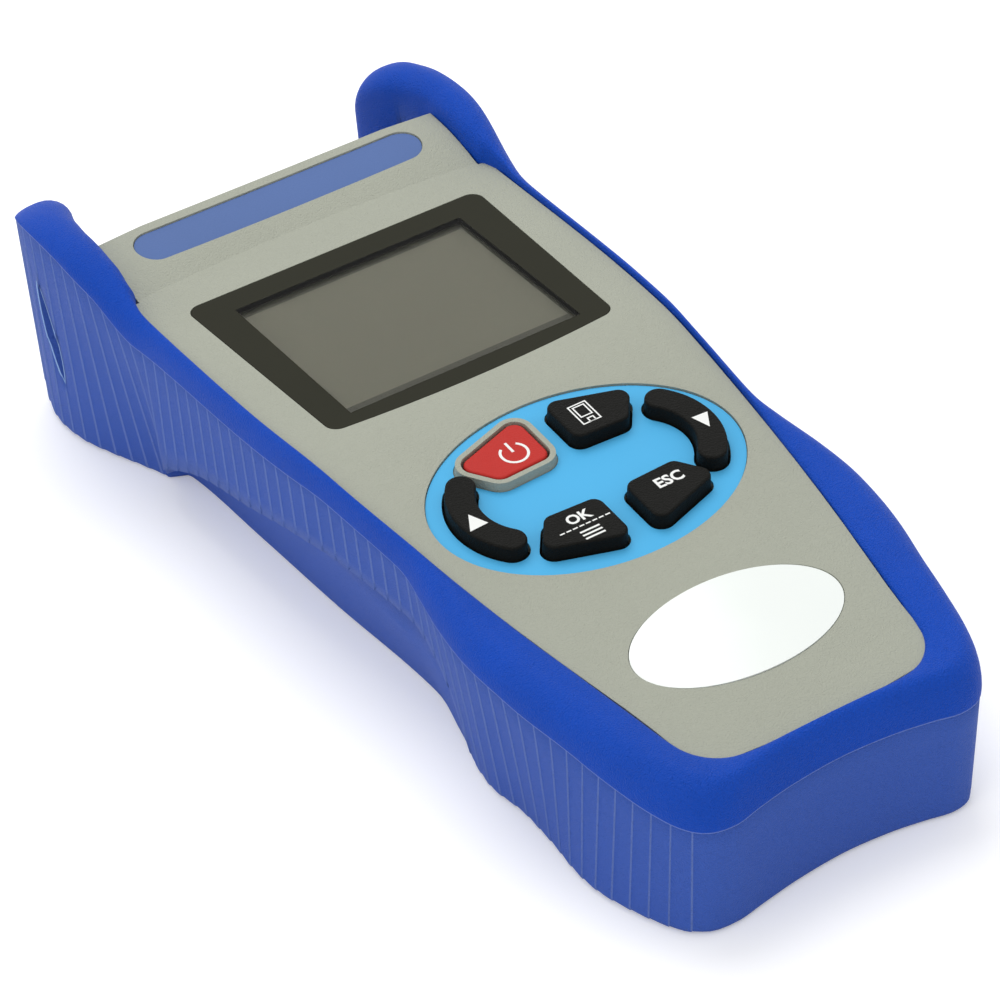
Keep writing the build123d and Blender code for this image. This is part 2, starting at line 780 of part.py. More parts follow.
def key_domes():
    """Snap domes on the keypad board, one under each key."""
    domes = []
    for name in key_plans:
        u, v = key_stems[name]
        dome = Cone(dome_radius, dome_radius * 0.6, dome_height)
        domes.append(keypad_plane * (Pos(u, v, dome_height / 2 - keypad_board_depth) * dome))
    return Compound(children=domes)


def main_board():
    length = main_board_top_y - main_board_low_y
    middle = (main_board_top_y + main_board_low_y) / 2
    board = Pos(0, middle, main_board_top - board_thickness / 2) * Box(main_board_width, length, board_thickness)
    for x, y in main_board_screws:
        board = board - Pos(x, y, main_board_top) * Cylinder(board_screw_radius + port_gap, 8)
    for x, y in boss_places:
        board = board - Pos(x, y, main_board_top) * Cylinder(boss_radius + 0.8, 8)
    return board


def board_parts():
    """Processor, memory, regulator coil and capacitors under the main board."""
    under = main_board_top - board_thickness
    sizes = [
        (0.0, 28.0, 12.0, 12.0, 1.4), (-16.0, 30.0, 8.0, 5.0, 1.2), (15.0, 14.0, 7.0, 7.0, 3.0),
        (15.0, 40.0, 5.0, 4.0, 1.0), (-14.0, 12.0, 6.0, 6.0, 5.0), (-18.0, 48.0, 6.0, 5.0, 1.2),
    ]
    parts = []
    for x, y, wide, long, tall in sizes:
        parts.append(Pos(x, y, under - tall / 2) * Box(wide, long, tall))
    return Compound(children=parts)


def keypad_ribbon():
    """Flat flexible link from under the keypad board to under the main board."""
    v = keypad_board_top_v - 7.0
    start = keypad_plane.from_local_coords(Vector(0, v, -keypad_board_depth - board_thickness - ribbon_thickness / 2))
    bend = keypad_plane.from_local_coords(Vector(0, keypad_board_top_v + 1.0, -keypad_board_depth - board_thickness - 0.4))
    under = main_board_top - board_thickness - ribbon_thickness / 2
    path = [(start.Y, start.Z), (bend.Y, bend.Z), (main_board_low_y - 1.0, under), (8.0, under)]
    half = ribbon_thickness / 2
    upper = [yz(y, z + half) for y, z in path]
    lower = [yz(y, z - half) for y, z in reversed(path)]
    ring = upper + lower
    edges = [Line(a, b) for a, b in zip(ring, ring[1:] + ring[:1])]
    return side_region(edges, ribbon_width / 2)


def pan_screw(shank_radius, shank_length, head_radius, head_height):
    """Screw standing on Z, head below, shank up, with a cross recess in its head."""
    head = Pos(0, 0, -head_height / 2) * Cylinder(head_radius, head_height)
    slot = Box(head_radius * 1.2, head_radius * 0.3, head_height)
    head = head - Pos(0, 0, -head_height) * slot - Pos(0, 0, -head_height) * slot.rotate(Axis.Z, 90)
    return head + Pos(0, 0, shank_length / 2) * Cylinder(shank_radius, shank_length)


def board_screws():
    screws = []
    blank = pan_screw(board_screw_radius, board_screw_length, board_head_radius, board_head_height)
    for x, y in main_board_screws:
        screws.append(Pos(x, y, main_board_top - board_thickness) * blank)
    for u, v in keypad_board_screws:
        screws.append(keypad_plane * (Pos(u, v, -keypad_board_depth - board_thickness) * blank))
    return Compound(children=screws)


def case_screws():
    blank = pan_screw(screw_radius, case_screw_length, screw_head_radius, screw_head_depth - port_gap)
    return Compound(children=[Pos(x, y, back_height + screw_head_depth) * blank for x, y in boss_places])


def cell_axes():
    """X of each cell's axis."""
    first = -cell_pitch * (cell_count - 1) / 2
    return [first + cell_pitch * index for index in range(cell_count)]


def battery_cells():
    """Round cells side by side, each with its raised positive end."""
    cells = []
    for index, x in enumerate(cell_axes()):
        body = Cylinder(cell_radius, cell_length - 1.0)
        body = chamfer(body.edges().filter_by(GeomType.CIRCLE), 0.5)
        nub = Pos(0, 0, cell_length / 2) * Cylinder(2.6, 1.0)
        turn = 90 if index % 2 else -90
        cell = (body + nub).rotate(Axis.X, turn)
        cells.append(Pos(x, battery_y, battery_floor + cell_radius) * cell)
    return Compound(children=cells)


def leaf_spring():
    """Bent strip on a contact plate: leans out from the plate's foot and folds back at its crown."""
    reach = cell_end_room - contact_thickness - port_gap
    bend = 0.55 * leaf_height
    outline = [(0, 0), (reach, bend), (0.35 * reach, leaf_height)]
    inner = [(0.35 * reach, leaf_height - 1.6 * contact_thickness), (reach - 1.8 * contact_thickness, bend)]
    ring = outline + inner + [(0, 1.6 * contact_thickness)]
    face = make_face(Polyline(*ring, close=True))
    strip = extrude(face, leaf_width / 2, both=True)
    return Pos(0, 0, -leaf_height / 2) * (strip.rotate(Axis.X, 90).rotate(Axis.Z, 90))


def battery_contacts():
    """Contact plates at both ends of the bay: a bent leaf at each negative end, a stud at the other."""
    pieces = []
    wide, long = bay_size()
    middle = battery_floor + cell_radius
    for index, x in enumerate(cell_axes()):
        for end in (-1, 1):
            plate_y = battery_y + end * (long / 2 - contact_thickness / 2)
            face_y = battery_y + end * (long / 2 - contact_thickness)
            plate = Pos(x, plate_y, middle) * Box(10.0, contact_thickness, 10.0)
            negative = 1 if index % 2 else -1
            if end == negative:
                leaf = leaf_spring()
                if end > 0:
                    leaf = leaf.rotate(Axis.Z, 180)
                plate = plate + Pos(x, face_y, middle) * leaf
            else:
                post_length = cell_end_room - contact_thickness - 0.6
                stud = Cylinder(1.8, post_length, rotation=(90, 0, 0))
                plate = plate + Pos(x, face_y - end * post_length / 2, middle) * stud
            pieces.append(plate)
    return Compound(children=pieces)


def battery_door():
    """Flush door with two tongues at its low end and a screw tab at the other."""
    door = slab(door_outline(0), back_height, back_height + door_thickness)
    for side in (-1, 1):
        door = door + Pos(side * tongue_x, 0, 0) * door_tongue(0)
    screw_x, screw_y = door_screw_place()
    door = door - Pos(screw_x, screw_y, back_height) * Cylinder(screw_radius + 0.2, 20)
    return door - Pos(screw_x, screw_y, back_height) * Cylinder(screw_head_radius + 0.2, 2 * door_head_sink)


def door_screw():
    screw_x, screw_y = door_screw_place()
    blank = pan_screw(screw_radius - 0.05, door_screw_length, screw_head_radius, door_head_sink - port_gap)
    return Pos(screw_x, screw_y, back_height + door_head_sink) * blank


nodes = {
    "rubber_boot": rubber_boot,
    "front_shell": front_shell,
    "rear_shell": rear_shell,
    "end_panel": end_panel,
    "display_window": display_window,
    "window_mask": window_mask,
    "lcd_frame": lcd_frame,
    "lcd_panel": lcd_panel,
    "keypad_overlay": keypad_overlay,
    "badge_plate": badge_plate,
    "header_label": header_label,
    "keypad_board": keypad_board,
    "key_domes": key_domes,
    "main_board": main_board,
    "board_parts": board_parts,
    "keypad_ribbon": keypad_ribbon,
    "board_screws": board_screws,
    "case_screws": case_screws,
    "usb_socket": usb_socket,
    "battery_cells": battery_cells,
    "battery_contacts": battery_contacts,
    "battery_door": battery_door,
    "door_screw": door_screw,
}


def write_node(name, piece):
    """One file for a node, moved so that the tester's middle stands over the origin."""
    middle_y = (boot_low_corner_y + low_corner_ease + horn_tip_y) / 2
    solids = [Pos(0, -middle_y, 0) * solid for solid in piece.solids()]
    node = Compound(children=solids) if len(solids) > 1 else solids[0]
    export_step(node, f"parts/{name}.step")


for node_name, make in nodes.items():
    write_node(node_name, make())
for node_name in key_plans:
    write_node(node_name, key_cap(node_name))
for side_name, side_sign in (("left", -1), ("right", 1)):
    write_node(f"optical_adapter_{side_name}", optical_adapter(side_sign))
    write_node(f"optical_receiver_{side_name}", optical_receiver(side_sign))
    write_node(f"dust_cap_{side_name}", dust_cap(side_sign))
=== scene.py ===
import bmesh
import bpy
import math
from mathutils import Matrix, Vector
from mathutils.bvhtree import BVHTree


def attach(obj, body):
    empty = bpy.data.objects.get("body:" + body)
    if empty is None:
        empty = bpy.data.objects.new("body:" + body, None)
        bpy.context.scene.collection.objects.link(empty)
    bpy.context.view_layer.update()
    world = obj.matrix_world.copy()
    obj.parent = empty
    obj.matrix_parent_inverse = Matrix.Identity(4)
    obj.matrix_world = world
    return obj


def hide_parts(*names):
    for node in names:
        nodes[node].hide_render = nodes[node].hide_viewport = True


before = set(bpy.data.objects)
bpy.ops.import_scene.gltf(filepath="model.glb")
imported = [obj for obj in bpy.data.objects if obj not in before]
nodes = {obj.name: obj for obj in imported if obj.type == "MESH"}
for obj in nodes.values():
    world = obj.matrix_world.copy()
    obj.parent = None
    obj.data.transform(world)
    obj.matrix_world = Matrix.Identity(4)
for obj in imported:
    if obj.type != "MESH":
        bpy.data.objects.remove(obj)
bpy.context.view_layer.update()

# The place it is seen in: the tester lies on its back on a plain pale table, seen from above its
# lower left corner. A white sweep stands behind, and two large soft lamps hang over it. The camera
# was fitted to the face's symmetric landmarks; its places are in millimetres.
mm = 0.001
camera_place = Vector((-294.6, -523.175, 459.8)) * mm
camera_right = Vector((0.8396, -0.5376, -0.0781))
camera_down = Vector((-0.3751, -0.4698, -0.7991))
camera_lens = 151.2
camera_film = 36.0

camera_data = bpy.data.cameras.new("camera")
camera_data.lens = camera_lens
camera_data.sensor_width = camera_film
camera_data.shift_x = -0.003
camera_data.shift_y = -0.002
camera_data.clip_end = 20
camera = bpy.data.objects.new("camera", camera_data)
bpy.context.scene.collection.objects.link(camera)
across = camera_right.normalized()
down = (camera_down - across * camera_down.dot(across)).normalized()
back = across.cross(-down)
turn = Matrix((across, -down, back)).transposed().to_4x4()
camera.matrix_world = Matrix.Translation(camera_place) @ turn
bpy.context.scene.camera = camera
bpy.context.scene.view_settings.view_transform = "Standard"


def new_object(name, bm):
    """An object at the origin from a finished bmesh, smooth shaded."""
    mesh = bpy.data.meshes.new(name)
    bm.to_mesh(mesh)
    bm.free()
    mesh.shade_smooth()
    piece = bpy.data.objects.new(name, mesh)
    bpy.context.scene.collection.objects.link(piece)
    return piece


def plain_material(name, color, roughness, metallic=0.0):
    """A material whose Principled shader has its constant values set on its own sockets."""
    material = bpy.data.materials.new(name)
    material.use_nodes = True
    shader = material.node_tree.nodes["Principled BSDF"]
    shader.inputs["Base Color"].default_value = (*color, 1.0)
    shader.inputs["Roughness"].default_value = roughness
    shader.inputs["Metallic"].default_value = metallic
    return material


table_reach = 3.0
table_drop = 0.0002
table_glow = 0.25
bm = bmesh.new()
bmesh.ops.create_grid(bm, x_segments=1, y_segments=1, size=table_reach)
bmesh.ops.translate(bm, vec=(0, 0, -table_drop), verts=bm.verts)
table = new_object("table", bm)
table_finish = plain_material("table_white", (0.93, 0.93, 0.93), 0.8)
tree = table_finish.node_tree
shader = tree.nodes["Principled BSDF"]
shader.inputs["Emission Color"].default_value = (1.0, 1.0, 1.0, 1.0)
table_path = tree.nodes.new("ShaderNodeLightPath")
table_lift = tree.nodes.new("ShaderNodeMath")
table_lift.operation = "MULTIPLY"
table_lift.inputs[1].default_value = table_glow
tree.links.new(table_path.outputs["Is Camera Ray"], table_lift.inputs[0])
tree.links.new(table_lift.outputs[0], shader.inputs["Emission Strength"])
table.data.materials.append(table_finish)

sweep_light = 0.7
sweep_seen = 1.0
world = bpy.data.worlds.new("studio")
bpy.context.scene.world = world
world.use_nodes = True
tree = world.node_tree
backdrop = tree.nodes["Background"]
backdrop.inputs["Color"].default_value = (1, 1, 1, 1)
backdrop.inputs["Strength"].default_value = sweep_light
seen = tree.nodes.new("ShaderNodeBackground")
seen.inputs["Color"].default_value = (1, 1, 1, 1)
seen.inputs["Strength"].default_value = sweep_seen
light_path = tree.nodes.new("ShaderNodeLightPath")
direct = tree.nodes.new("ShaderNodeMath")
direct.operation = "MAXIMUM"
through = tree.nodes.new("ShaderNodeMath")
through.operation = "MAXIMUM"
mix = tree.nodes.new("ShaderNodeMixShader")
tree.links.new(light_path.outputs["Is Camera Ray"], direct.inputs[0])
tree.links.new(light_path.outputs["Is Glossy Ray"], direct.inputs[1])
tree.links.new(direct.outputs[0], through.inputs[0])
tree.links.new(light_path.outputs["Is Transmission Ray"], through.inputs[1])
tree.links.new(through.outputs[0], mix.inputs[0])
tree.links.new(backdrop.outputs[0], mix.inputs[1])
tree.links.new(seen.outputs[0], mix.inputs[2])
tree.links.new(mix.outputs[0], tree.nodes["World Output"].inputs["Surface"])


def softbox(name, place, size, power):
    """A square lamp that faces the middle of the tester."""
    lamp_data = bpy.data.lights.new(name, "AREA")
    lamp_data.size = size
    lamp_data.energy = power
    lamp = bpy.data.objects.new(name, lamp_data)
    bpy.context.scene.collection.objects.link(lamp)
    lamp.location = place
    lamp.rotation_euler = (-Vector(place)).to_track_quat("-Z", "Y").to_euler()


softbox("lamp_over", (0.15, 0.5, 1.1), 0.7, 6.0)
softbox("lamp_left", (-1.1, -0.35, 0.8), 0.9, 2.6)

# Surface effects that several finishes share. Moulded plastic and rubber carry a fine grain from the
# tool, and their colour and gloss drift slowly over a few centimetres. Both come from one group.
patch_scale = 60.0
grain_height = 0.0002
rough_drift = 0.05
grain_group = bpy.data.node_groups.new("moulded_grain", "ShaderNodeTree")
grain_group.interface.new_socket("Cells per metre", in_out="INPUT", socket_type="NodeSocketFloat")
grain_group.interface.new_socket("Depth", in_out="INPUT", socket_type="NodeSocketFloat")
grain_group.interface.new_socket("Height", in_out="OUTPUT", socket_type="NodeSocketFloat")
grain_group.interface.new_socket("Patches", in_out="OUTPUT", socket_type="NodeSocketFloat")
group_in = grain_group.nodes.new("NodeGroupInput")
group_out = grain_group.nodes.new("NodeGroupOutput")
coords = grain_group.nodes.new("ShaderNodeTexCoord")
grain = grain_group.nodes.new("ShaderNodeTexNoise")
grain.inputs["Detail"].default_value = 2.0
deep = grain_group.nodes.new("ShaderNodeMath")
deep.operation = "MULTIPLY"
patches = grain_group.nodes.new("ShaderNodeTexNoise")
patches.inputs["Scale"].default_value = patch_scale
patches.inputs["Detail"].default_value = 3.0
grain_group.links.new(coords.outputs["Object"], grain.inputs["Vector"])
grain_group.links.new(coords.outputs["Object"], patches.inputs["Vector"])
grain_group.links.new(group_in.outputs["Cells per metre"], grain.inputs["Scale"])
grain_group.links.new(grain.outputs["Fac"], deep.inputs[0])
grain_group.links.new(group_in.outputs["Depth"], deep.inputs[1])
grain_group.links.new(deep.outputs[0], group_out.inputs["Height"])
grain_group.links.new(patches.outputs["Fac"], group_out.inputs["Patches"])


def moulded(name, color, roughness, cells, depth, spread=0.04, metallic=0.0, gloss=0.2):
    """A moulded or cast finish: grain in its bump, slight patches in its colour and roughness."""
    material = plain_material(name, color, roughness, metallic)
    tree = material.node_tree
    shader = tree.nodes["Principled BSDF"]
    shader.inputs["Specular IOR Level"].default_value = gloss if metallic == 0 else 0.5
    group = tree.nodes.new("ShaderNodeGroup")
    group.node_tree = grain_group
    group.inputs["Cells per metre"].default_value = cells
    group.inputs["Depth"].default_value = depth
    bump = tree.nodes.new("ShaderNodeBump")
    bump.inputs["Distance"].default_value = grain_height
    tree.links.new(group.outputs["Height"], bump.inputs["Height"])
    tree.links.new(bump.outputs["Normal"], shader.inputs["Normal"])
    shade = tree.nodes.new("ShaderNodeMix")
    shade.data_type = "RGBA"
    shade.inputs["A"].default_value = (*[c * (1 - spread) for c in color], 1.0)
    shade.inputs["B"].default_value = (*[min(1.0, c * (1 + spread)) for c in color], 1.0)
    tree.links.new(group.outputs["Patches"], shade.inputs["Factor"])
    tree.links.new(shade.outputs["Result"], shader.inputs["Base Color"])
    rough = tree.nodes.new("ShaderNodeMapRange")
    rough.inputs["To Min"].default_value = roughness - rough_drift
    rough.inputs["To Max"].default_value = roughness + rough_drift
    tree.links.new(group.outputs["Patches"], rough.inputs["Value"])
    tree.links.new(rough.outputs["Result"], shader.inputs["Roughness"])
    return material


def dress(node, material):
    """Give a CAD node a finish in its own material slots."""
    mesh = nodes[node].data
    if not mesh.materials:
        mesh.materials.append(material)
    for index in range(len(mesh.materials)):
        mesh.materials[index] = material


# The rubber boot: one soft blue moulding stretched over both shells. A smooth rolled bead runs round
# the face, a fine parting line under it, and the walls below are stepped into narrow flat facets
# for grip. Two horns rise past the connector end, and each side is drawn in under a long arch.
rib_pitch = 3.75
rib_step = 0.2
step_fade = 0.6
facet_pale = 0.6
arch_pale = 0.3
floor_round = 1.3
bead_stand = 0.15
face_gap = 0.3
keypad_lean = 6.1
keypad_slope = math.tan(math.radians(keypad_lean))
face_level = 37.9
face_crown_y = 0.2
crown_half = 5.0

# Matched places along the right half, from the middle of the low end to the tip of the horn, each
# as x, y: the parting line, the foot of the wall, and the inner edge beside the gray face.
boot_guides = [
    ((0, -100.5), (0, -100.5), (0, -97.2)),
    ((9.5, -101.1), (9.5, -101.1), (7.5, -97.1)),
    ((17, -102.3), (17, -102.3), (13.5, -96.9)),
    ((22.3, -103.4), (22.3, -103.3), (18.0, -96.1)),
    ((26.8, -102.6), (27.0, -102.7), (21.2, -94.2)),
    ((29.9, -99.5), (30.5, -99.6), (23.4, -91.3)),
    ((32.6, -93), (33.6, -93), (24.5, -87.5)),
    ((34.8, -84), (36.2, -84), (25.9, -79.5)),
    ((36.5, -75.5), (37.4, -75.5), (27.2, -72)),
    ((38.3, -67), (36.9, -67), (28.5, -64)),
    ((39.3, -59.5), (36.6, -59.5), (29.7, -57.5)),
    ((39.8, -51), (37.4, -51.5), (30.9, -49.5)),
    ((39.1, -42), (36.2, -43), (32.1, -41)),
    ((37.6, -33.5), (35.4, -34.5), (33.2, -33)),
    ((36.6, -27.5), (35.3, -27.7), (34.0, -27.5)),
    ((36.7, -22.5), (35.9, -22.5), (34.6, -22.5)),
    ((37.6, -12), (37.1, -12), (35.8, -12)),
    ((38.4, -3.5), (37.9, -3.5), (36.6, -3.5)),
    ((39.6, 5.5), (39.2, 5.5), (37.3, 5.5)),
    ((40.5, 17.5), (40.2, 17.5), (38.0, 17.5)),
    ((40.9, 30), (40.8, 30), (38.3, 30)),
    ((41.1, 42), (41.3, 42), (38.4, 42)),
    ((41.5, 53), (41.9, 53), (38.4, 53)),
    ((42.4, 59.5), (37.8, 60.0), (38.4, 59.5)),
    ((43.7, 67), (39.6, 67), (36.9, 67)),
    ((44.9, 74), (42.3, 74), (36.9, 74)),
    ((45.3, 81), (44.5, 81), (36.9, 81.5)),
    ((45.1, 88), (44.9, 88), (35.7, 88)),
    ((44.2, 94), (44.0, 94), (33.4, 94)),
    ((42.6, 99), (42.4, 99), (32.2, 98.5)),
    ((40.9, 102.2), (40.7, 102.1), (32.2, 101.2)),
    ((39.0, 103.8), (38.9, 103.6), (33.6, 103.1)),
    ((37.3, 104.2), (37.3, 104.0), (35.4, 104.1)),
]

# Values along the length, each as y, value: how far the side is drawn in under the arch, the arch,
# the parting line and the bead's crest over the horns, and how those stand elsewhere.
recess_foot = [(-44, 35.9), (-35, 33.4), (-24, 31.0), (8, 32.4), (34, 33.1), (58, 34.0), (63, 36.5)]
recess_top_x = 37.4
recess_top_z = 21.2
arch_places = [
    (-43.0, 0), (-38.6, 14.6), (-34.6, 18.4), (-28.0, 20.4), (-7.0, 21.2), (9.0, 20.4),
    (23.0, 17.9), (36.0, 15.7), (46.0, 12.3), (54.5, 7.7), (61.5, 0),
]
parting_places = [
    (54, 33.9), (58, 34.3), (62, 36), (68, 39.6), (77, 42.8), (86, 44.2), (92, 43.9),
    (97, 42.6), (101, 39.8), (104, 35.4),
]
crest_places = [
    (46, 39.0), (54, 39.2), (58, 39.9), (62, 41.3), (66, 43.0), (70, 44.5), (76, 46.0),
    (82, 46.6), (88, 46.5), (93, 45.7), (97, 44.3), (100.5, 42.0), (103, 39.0), (104.4, 36.4),
]
parting_drop = [(-98, 6.0), (-60, 4.0)]
crest_stand = [(-60, 1.3), (-20, 1.1)]
horn_inner_drop = [(84, 3.6), (98, 5.6)]
crest_share = [(2.5, 0.9), (5, 0.72), (9, 0.48)]
parting_places_from_y = 54
crest_places_from_y = 46
horn_rise_from_y = 58
horn_rise_run = 12
notch_y = 64.0
header_wall_x = 36.9
header_end_y = 78.5
low_end_y = -102.0
toe_from_y = 91.0
toe_run = 13.6
toe_rise = 15.0

# The openings: a window in the back, and beside the horns none.
end_half_x = 27.5
window_half = [
    (-95, 28), (-91, 28.5), (-70, 30), (-40, 25.4), (-22, 25.4), (55, 27.5), (64, 33), (82, 33),
]
end_window_half = 28.0
end_window_share = 1.2
back_window_low_y = -94.0
inner_wall_drop = 3.0
horn_floor_gap = 1.5

# Bends of the finished boot, used further down: how much, from where and over what run.
horn_lean = 0.9
horn_lean_from_y = 76.0
horn_lean_run = 22.0
hip_draft = 4.4
hip_draft_from_y = -45.0
hip_draft_run = 35.0
hip_draft_top = 31.0
right_bead_tuck = [
    (-20, 0.0), (0, 0.7), (50, 0.9), (62, 0.6), (72, 0.9), (86, 1.6), (96, 1.6), (104, 0.6),
]
right_bead_from_x = 38
right_bead_run = 5
right_bead_from_z = 32
right_bead_rise = 8
left_flare = 1.6
left_flare_from_y = -70.0
left_flare_run = 16.0
full_bend_x = 30


def along(places, at):
    """Value on straight runs between the places, held at both ends."""
    if at <= places[0][0]:
        return places[0][1]
    for (a, va), (b, vb) in zip(places, places[1:]):
        if at <= b:
            return va + (vb - va) * (at - a) / (b - a)
    return places[-1][1]


def eased(places, at):
    """Like along, but smooth through the places."""
    last = len(places) - 1
    if at <= places[0][0]:
        return places[0][1]
    for i in range(last):
        a, va = places[i]
        b, vb = places[i + 1]
        if at <= b:
            before = places[max(i - 1, 0)]
            after = places[min(i + 2, last)]
            f = (at - a) / (b - a)
            slope0 = (vb - before[1]) / (b - before[0]) * (b - a)
            slope1 = (after[1] - va) / (after[0] - a) * (b - a)
            value = va * (2 * f**3 - 3 * f**2 + 1) + vb * (3 * f**2 - 2 * f**3)
            return value + slope0 * (f**3 - 2 * f**2 + f) + slope1 * (f**3 - f**2)
    return places[-1][1]


def guide_point(kind, t):
    """Smooth curve through one column of the guides; t counts the places."""
    last = len(boot_guides) - 1
    i = min(int(t), last - 1)
    f = t - i
    near = [Vector(boot_guides[min(max(k, 0), last)][kind]) for k in (i - 1, i, i + 1, i + 2)]
    if i == 0:
        near[0] = Vector((-near[2].x, near[2].y))
    slope0 = (near[2] - near[0]) / 2
    slope1 = (near[3] - near[1]) / 2
    point = near[1] * (2 * f**3 - 3 * f**2 + 1) + near[2] * (3 * f**2 - 2 * f**3)
    return point + slope0 * (f**3 - 2 * f**2 + f) + slope1 * (f**3 - f**2)


def face_height(y):
    """Height of the gray face, sloping over the keypad and level over the display."""
    sloped = face_level - (face_crown_y - y) * keypad_slope
    if y > face_crown_y + crown_half:
        return face_level
    if y < face_crown_y - crown_half:
        return sloped
    f = (y - face_crown_y + crown_half) / (2 * crown_half)
    return face_level - keypad_slope * crown_half * (1 - f) ** 2


floor_steps = 5
floor_step_turn = 22.5
lower_rows = 5
upper_rows = 5
bead_rows = 10
inner_rows = 7


def boot_section(t, rib):
    """One closed loop across the boot at guide place t, as (place, pale edge, bead) tuples. It runs
    from the window in the back over the floor, up the wall, over the bead and down inside."""
    seam = guide_point(0, t)
    foot = guide_point(1, t)
    gray = guide_point(2, t)
    y = seam.y
    on_end = y < low_end_y or seam.x < end_half_x
    ribbed = 0.0 if on_end or t > len(boot_guides) - 3 else 1.0
    if y > notch_y and gray.x > header_wall_x:
        gray.x = header_wall_x
    face = face_height(gray.y)
    parting = face_height(y) - along(parting_drop, y)
    if y > parting_places_from_y:
        parting = eased(parting_places, y)
    crest = eased(crest_places, y) if y > crest_places_from_y else face + along(crest_stand, y)
    foot_z = 0.0
    if y > toe_from_y:
        f = min((y - toe_from_y) / toe_run, 1.0)
        foot_z = toe_rise * (1 - math.sqrt(1 - f * f))
    past_header = y > header_end_y
    if past_header:
        inner_low = foot_z + horn_floor_gap
        window = Vector((gray.x, gray.y))
    else:
        inner_low = face - inner_wall_drop
        window = Vector((along(window_half, y), max(y, back_window_low_y)))
    if on_end:
        window = Vector((min(gray.x * end_window_share, end_window_half), back_window_low_y))
    rise = min(max((y - horn_rise_from_y) / horn_rise_run, 0.0), 1.0)
    inner_high = face + 0.1 + (crest - along(horn_inner_drop, y) - face - 0.1) * rise
    outward = (seam - gray).normalized()
    inner = gray + outward * face_gap * (1.0 - rise)
    arch = eased(arch_places, y) if arch_places[0][0] < y < arch_places[-1][0] else 0.0
    low_top = foot_z + floor_round
    recessed = arch > low_top + 0.1 and not on_end
    split = arch if recessed else low_top + 0.1
    edge = facet_pale if ribbed and (rib < 0.001 or rib > 0.999) else 0.0
    loop = []

    def add(point, z, pale=0.0, bead=0.0):
        loop.append((Vector((point.x, point.y, z)), pale, bead))

    def wall(z):
        """Plan place of the ribbed wall at height z, with its facet's step."""
        f = min(max((z - foot_z) / (parting - foot_z), 0.0), 1.0)
        fade = max(min(1.0, (parting - z) / step_fade), 0.0)
        return foot.lerp(seam, f) - outward * rib_step * rib * fade * ribbed

    def lower(z):
        """Plan place of the wall under the arch, drawn in where the side is recessed."""
        if not recessed:
            return wall(z)
        recess_x = eased(recess_foot, y)
        recess_x += (recess_top_x - recess_x) * min(z / recess_top_z, 1.0)
        f = min(max((z - foot_z) / (parting - foot_z), 0.0), 1.0)
        return Vector((min(recess_x, foot.lerp(seam, f).x - rib_step - 0.1), y))

    floor_edge = lower(low_top)
    add(window, foot_z)
    for step in range(floor_steps):
        turn = math.radians(floor_step_turn * step)
        place = floor_edge - outward * floor_round * (1 - math.sin(turn))
        add(place, low_top - floor_round * math.cos(turn), 0.0 if recessed or step < 2 else edge)
    for row in range(1, lower_rows + 1):
        z = low_top + (split - low_top) * row / lower_rows
        add(lower(z), z, 0.0 if recessed else edge)
    add(wall(split + 0.1), split + (0.03 if recessed else 0.05), arch_pale if recessed else edge)
    for row in range(1, upper_rows + 1):
        z = split + 0.2 + (parting - 0.1 - split - 0.2) * row / upper_rows
        add(wall(z), z, edge)
    add(seam - outward * 0.1, parting - 0.04, 1.0, 0.5)
    start = seam + outward * bead_stand
    reach = (start - inner).length
    crest_at = reach * along(crest_share, reach)
    add(start - outward * 0.03, parting + 0.05, 1.0, 1.0)
    add(start - outward * 0.01, parting + 0.34, 0.0, 1.0)
    for row in range(1, bead_rows + 1):
        turn = math.radians(90 * row / bead_rows)
        place = start - outward * crest_at * (1 - math.cos(turn))
        add(place, parting + (crest - parting) * math.sin(turn), 0.0, 1.0)
    for row in range(1, inner_rows + 1):
        turn = math.radians(90 * row / inner_rows)
        inward = crest_at + (reach - crest_at) * math.sin(turn)
        add(start - outward * inward, inner_high + (crest - inner_high) * math.cos(turn), 0.0, 1.0)
    add(inner, inner_low, 0.0, 1.0)
    add(window, foot_z + (0.6 if past_header else 2.0))
    return loop


guide_samples = 3000
facet_phases = ((0.0, 0.0), (0.045, 0.02), (0.3, 0.3), (0.6, 0.62), (0.93, 0.97), (0.97, 1.0))
tip_stations = 8


def boot_stations():
    """Guide places with the facet phase at each, close together at every facet's edge."""
    last = len(boot_guides) - 1
    run = 0.0
    spots = [(0.0, 0.0)]
    before = guide_point(0, 0)
    for k in range(1, guide_samples + 1):
        now = guide_point(0, last * k / guide_samples)
        run += (now - before).length
        spots.append((run, last * k / guide_samples))
        before = now
    count = int(run / rib_pitch)
    pitch = run / count
    stations = []
    for rib in range(count):
        for part, phase in facet_phases:
            stations.append((along(spots, (rib + part) * pitch), phase))
    for extra in range(1, tip_stations):
        stations.append((last - 2 + 2 * extra / tip_stations, 0.0))
    stations.append((float(last), 0.0))
    return sorted(stations)


bm = bmesh.new()
edge_layer = bm.verts.layers.float.new("pale_edge")
bead_layer = bm.verts.layers.float.new("bead")
rings = []
for t, phase in boot_stations():
    ring = []
    for place, pale, bead in boot_section(t, phase):
        vert = bm.verts.new(place * mm)
        vert[edge_layer] = pale
        vert[bead_layer] = bead
        ring.append(vert)
    rings.append(ring)
for one, two in zip(rings, rings[1:]):
    for k in range(len(one)):
        n = (k + 1) % len(one)
        bm.faces.new((one[k], one[n], two[n], two[k]))
bm.faces.new(list(reversed(rings[-1])))
half = list(bm.verts) + list(bm.edges) + list(bm.faces)
bmesh.ops.mirror(bm, geom=half, axis="X", merge_dist=0.00005)

